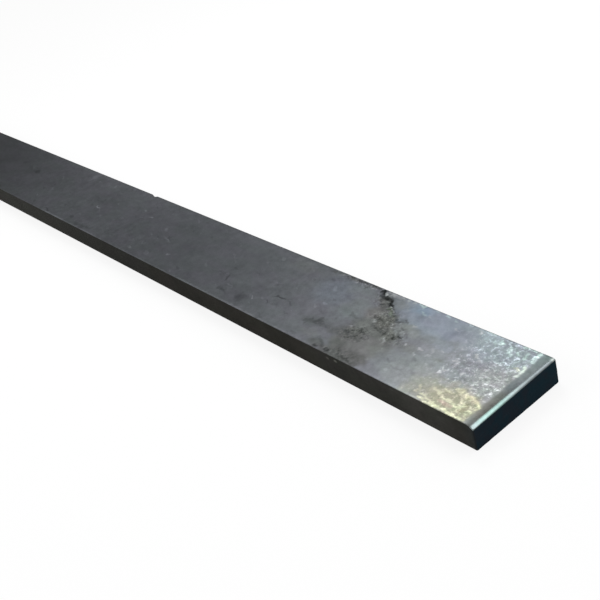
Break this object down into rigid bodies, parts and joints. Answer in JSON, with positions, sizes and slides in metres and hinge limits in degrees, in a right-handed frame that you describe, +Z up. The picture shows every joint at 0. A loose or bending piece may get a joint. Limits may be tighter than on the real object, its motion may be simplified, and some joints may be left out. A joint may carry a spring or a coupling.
{
  "type": "metal flat bar",
  "caption": "Straight hot-rolled steel flat bar with a rectangular section, softly rounded long corners and sheared ends whose faces dip into the cut.",
  "frame": {"origin": "middle of the underside", "axes": "+X along the bar towards the end cut with its dip on the upper face, +Y across the width, +Z up through the thickness"},
  "size_m": [1, 0.04, 0.01],
  "materials": {
    "mill_scale_steel": "satin"
  },
  "bodies": {
    "root": {"flat_bar": "mill_scale_steel"}
  },
  "joints": []
}
